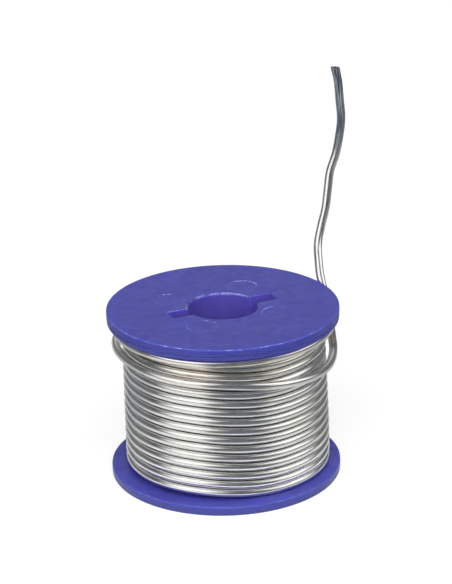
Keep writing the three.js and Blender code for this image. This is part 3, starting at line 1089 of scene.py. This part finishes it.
# %% The white room
SOFT_LEAST, SOFT_MOST = 0.1, 3.7
world = bpy.data.worlds.new("studio")
bpy.context.scene.world = world
world.use_nodes = True
tree = world.node_tree
soft = tree.nodes["Background"]
soft.inputs["Color"].default_value = (1, 1, 1, 1)
way = add_node(tree, "ShaderNodeTexCoord").outputs["Generated"]
lobe = vector_math(tree, "DOT_PRODUCT", way, tuple(seen(0, -0.77, 0.64)))
tree.links.new(follow(tree, lobe, 0.7, 1.0, SOFT_LEAST, SOFT_MOST), soft.inputs["Strength"])
white = add_node(tree, "ShaderNodeBackground", Color=(1, 1, 1, 1), Strength=1.0)
choice = add_node(
    tree, "ShaderNodeMixShader", i0=direct_view(tree), i1=soft.outputs[0], i2=white.outputs[0]
)
tree.links.new(choice.outputs[0], tree.nodes["World Output"].inputs["Surface"])
print(f"soft light: {SOFT_LEAST} all round, {SOFT_MOST} over the camera")

# %% [markdown]
# ### Grey cloths
# Bright metal in a white room vanishes against the white, so a photographer hangs grey cloth
# around it, and the dark stripes on every turn are that cloth, mirrored. Here it is a round tent
# on the floor that only mirrors can see. Its greys follow the stripes in the photograph: dark
# walls, darkest at the camera's own side, a pale roof and a pale table behind the spool, and a
# white sheet on the table at the left. A pale patch of the wall behind is what gives the top face
# its haze.

# %% Grey cloths for the metal to mirror
SHEET_RADIUS = 0.034
TENT_RADIUS = 1.6
SHEET_HEIGHT = 0.0005
profile = [  # how far out and how high, in metres
    (SHEET_RADIUS, SHEET_HEIGHT), (TENT_RADIUS, SHEET_HEIGHT), (TENT_RADIUS, 1.3), (0.5, 1.9),
    (0.02, 2.0),
]
tent_shape = bmesh.new()
draw_line(tent_shape, profile)
spin_round(tent_shape, steps=64)
tent = finish_piece("grey_cloths", tent_shape)
tent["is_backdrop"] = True
tent.visible_camera = tent.visible_diffuse = False
tent.visible_shadow = tent.visible_transmission = False

# %% Greys of the cloths
FRONT_CLOTH = (0.175, 0.19, 0.22, 1)
BACK_CLOTH = (0.15, 0.155, 0.17, 1)
ROOF_CLOTH = (0.5, 0.5, 0.49, 1)
DARK_CLOTH = (0.16, 0.165, 0.175, 1)
DARKEST_CLOTH = (0.117, 0.133, 0.16, 1)
NEAR_CLOTH = (0.6, 0.6, 0.58, 1)
WHITE_CLOTH = (0.82, 0.82, 0.81, 1)
PALE_CLOTH = (0.48, 0.49, 0.49, 1)
print("greys of the cloths: from", DARKEST_CLOTH[:3], "to", WHITE_CLOTH[:3])

# %% Where a place on the cloth is
cloth, tree, set_cloth = new_material("grey_cloth", Roughness=0.9, Specular_IOR_Level=0.0)
place = add_node(tree, "ShaderNodeTexCoord").outputs["Object"]
way = vector_math(tree, "NORMALIZE", place)
far_off = vector_math(tree, "LENGTH", place)
height = split(tree, way)["Z"]


def direction(azimuth, elevation):
    """The way to this azimuth and elevation in degrees, as the camera sees them."""
    turn, rise = math.radians(azimuth), math.radians(elevation)
    level = math.cos(rise)
    return seen(math.cos(turn) * level, math.sin(turn) * level, math.sin(rise))


def towards(azimuth, start, end, elevation=0):
    """Goes from 0 to 1 as the way to a place on the cloth nears this direction."""
    near = vector_math(tree, "DOT_PRODUCT", way, tuple(direction(azimuth, elevation)))
    return follow(tree, near, start, end, 0.0, 1.0)


def beyond(start, end):
    return follow(tree, far_off, start, end, 0.0, 1.0)


def higher(start, end):
    return follow(tree, height, start, end, 0.0, 1.0)


# %% Lay the greys on the cloth
walls = paint(
    tree,
    FRONT_CLOTH,
    (towards(75, 0.0, 1.0), BACK_CLOTH),
    (towards(90, 0.9, 0.975, elevation=30), PALE_CLOTH),
    (higher(0.76, 0.88), paint(tree, FRONT_CLOTH, (towards(110, -0.1, 0.35), ROOF_CLOTH))),
    (higher(0.94, 0.99), DARK_CLOTH),
)
behind = multiply(tree, towards(90, -0.1, 0.25), follow(tree, far_off, 0.14, 0.3, 1.0, 0.0))
table_behind = multiply(
    tree,
    towards(112, 0.82, 0.94),
    beyond(0.09, 0.14),
    follow(tree, height, 0.0, 0.1, 1.0, 0.0),
)
camera_side = multiply(tree, towards(281, 0.82, 0.95), beyond(0.028, 0.055))
greys = paint(
    tree,
    NEAR_CLOTH,
    (beyond(0.03, 0.19), walls),
    (towards(224, 0.8, 0.97), WHITE_CLOTH),
    (beyond(0.1, 0.2), walls),
    (behind, PALE_CLOTH),
    (table_behind, PALE_CLOTH),
    (camera_side, DARKEST_CLOTH),
)
set_cloth("Base Color", greys)
tent.data.materials.append(cloth)
print("the cloth has", len(tree.nodes), "nodes")

# %% [markdown]
# ### Lamps
# Two softboxes make the broad highlights that run down both sides of the winding. The cloth of a
# softbox is brightest in its middle, which is why the highlights fade at their ends, so the lamp's
# light is faded towards its sides.

# %% Lamps
def fade_edges(tree, share, edge):
    """1 in the middle of a sheet and 0 at its sides, by a share that runs from 0 to 1."""
    rising = follow(tree, share, 0.0, edge, 0.0, 1.0)
    return multiply(tree, rising, follow(tree, share, 1 - edge, 1.0, 1.0, 0.0))


def softbox(name, azimuth, elevation, width, height, brightness, far=1.3):
    """A lamp whose light is given by how bright it looks, so its power follows from its size."""
    aim = direction(azimuth, elevation)
    light = bpy.data.lights.new(name, "AREA")
    light.shape, light.size, light.size_y = "RECTANGLE", width, height
    light.color = (1, 1, 0.99)
    light.energy = math.pi * width * height * brightness
    light.use_nodes = True
    tree = light.node_tree
    sides = split(tree, add_node(tree, "ShaderNodeNewGeometry").outputs["Parametric"])
    faded = multiply(tree, fade_edges(tree, sides["X"], 0.42), fade_edges(tree, sides["Y"], 0.25))
    tree.links.new(faded, tree.nodes["Emission"].inputs["Strength"])
    lamp = bpy.data.objects.new(name, light)
    lamp.location = aim * far + Vector((0, 0, SPOOL_HEIGHT * MM / 2))
    lamp.rotation_euler = aim.to_track_quat("Z", "Y").to_euler()
    bpy.context.collection.objects.link(lamp)
    print(f"{name}: {light.energy:.1f} W, {width} m by {height} m, {far} m away")


softbox("left_box", 228, 32, 2.4, 2.0, 1.17)
softbox("right_box", 353, 37, 1.9, 1.6, 1.2)

# %% Finish
bpy.context.scene.view_settings.view_transform = "Standard"
low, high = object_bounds()
print("size:", [round(s / MM, 1) for s in high - low], "mm")
